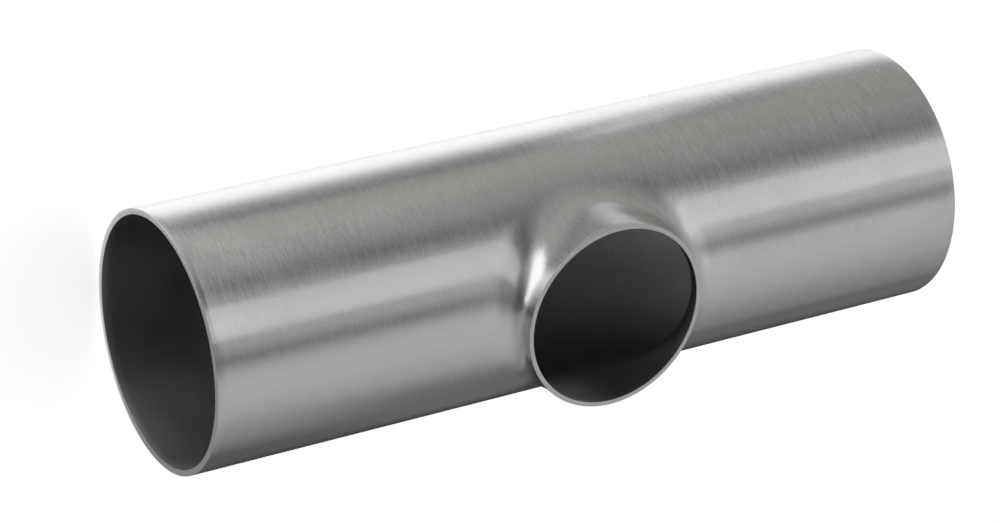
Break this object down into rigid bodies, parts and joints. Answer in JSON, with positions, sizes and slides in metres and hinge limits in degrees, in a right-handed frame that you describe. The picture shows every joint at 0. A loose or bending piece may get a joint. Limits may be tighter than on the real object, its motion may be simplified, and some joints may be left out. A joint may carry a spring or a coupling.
{
  "type": "reducing weld tee",
  "caption": "Short stainless steel reducing weld tee: a straight thin-walled run tube with a smaller branch collar pulled out of its side, all ends faced square for butt welding.",
  "frame": {"origin": "where the run's axis crosses the branch's axis", "axes": "+X along the run, +Z along the branch, which is up, as the tee comes to rest on a flat surface"},
  "size_m": [0.164, 0.051, 0.055],
  "materials": {
    "steel": "fine brush marks around the run, collar and blend polished by hand, plain pickled bore"
  },
  "bodies": {
    "root": {"tee_body": "steel"}
  },
  "joints": []
}
